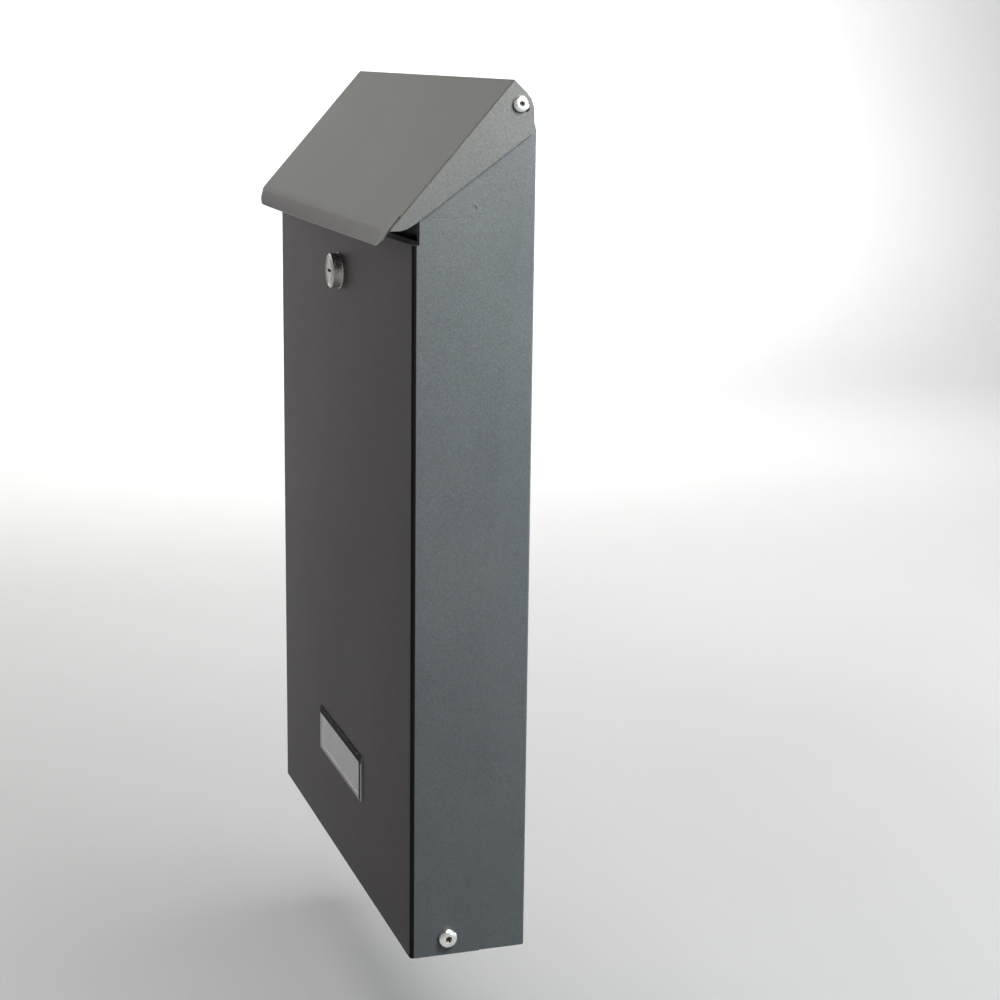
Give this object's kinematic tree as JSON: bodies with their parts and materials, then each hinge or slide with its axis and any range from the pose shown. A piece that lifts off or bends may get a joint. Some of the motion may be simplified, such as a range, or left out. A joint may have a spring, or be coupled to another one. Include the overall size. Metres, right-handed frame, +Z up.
{
  "type": "wall mounted mail drop box",
  "caption": "Slim wall-mounted sheet-metal letter and document drop box with a sloping flip-up lid, a tilting front door, a cam lock and a name window.",
  "frame": {"origin": "middle of the object's box in X and Y, at the underside of the base", "axes": "+Z up, -Y out of the front door, +Y towards the wall, +X to the right seen from the front"},
  "size_m": [0.3176, 0.0842, 0.4712],
  "materials": {
    "powder_coat": "fine-textured black powder coat",
    "plain_steel": "bright zinc plated",
    "screw_steel": "polished stainless",
    "chrome": "chromed zinc casting",
    "brass": "stamped",
    "nylon": "natural nylon",
    "black_plastic": "moulded",
    "clear_pane": "clear acrylic",
    "card": "blank grey paper card"
  },
  "bodies": {
    "root": {"rear_body": "powder_coat", "cross_bar": "powder_coat", "lid_hinge_screws": "screw_steel", "lid_hinge_bushes": "nylon", "lid_hinge_washers": "plain_steel", "lid_hinge_nuts": "plain_steel", "door_pivot_screws": "screw_steel", "door_pivot_bushes": "nylon", "door_pivot_washers": "plain_steel", "door_pivot_nuts": "plain_steel"},
    "lid": {"lid": "powder_coat"},
    "door": {"front_door": "powder_coat", "lock_housing": "chrome", "lock_nut": "plain_steel", "lock_washer": "plain_steel", "name_window": "clear_pane", "name_card": "card", "card_retainer": "black_plastic"},
    "lock": {"lock_plug": "chrome", "lock_wafers": "brass", "lock_cam": "plain_steel", "lock_cam_screw": "plain_steel", "lock_cam_washer": "plain_steel"}
  },
  "joints": [
    {"name": "lid_hinge", "type": "hinge", "parent": "root", "child": "lid", "pos_m": [0, 0.03225, 0.4592], "axis": [-1, 0, 0], "range_deg": [0, 67]},
    {"name": "door_hinge", "type": "hinge", "parent": "root", "child": "door", "pos_m": [0, -0.00275, 0.0102], "axis": [1, 0, 0], "range_deg": [0, 100]},
    {"name": "lock_turn", "type": "hinge", "parent": "door", "child": "lock", "pos_m": [0, -0.01785, 0.36], "axis": [0, -1, 0], "range_deg": [0, 90]}
  ]
}
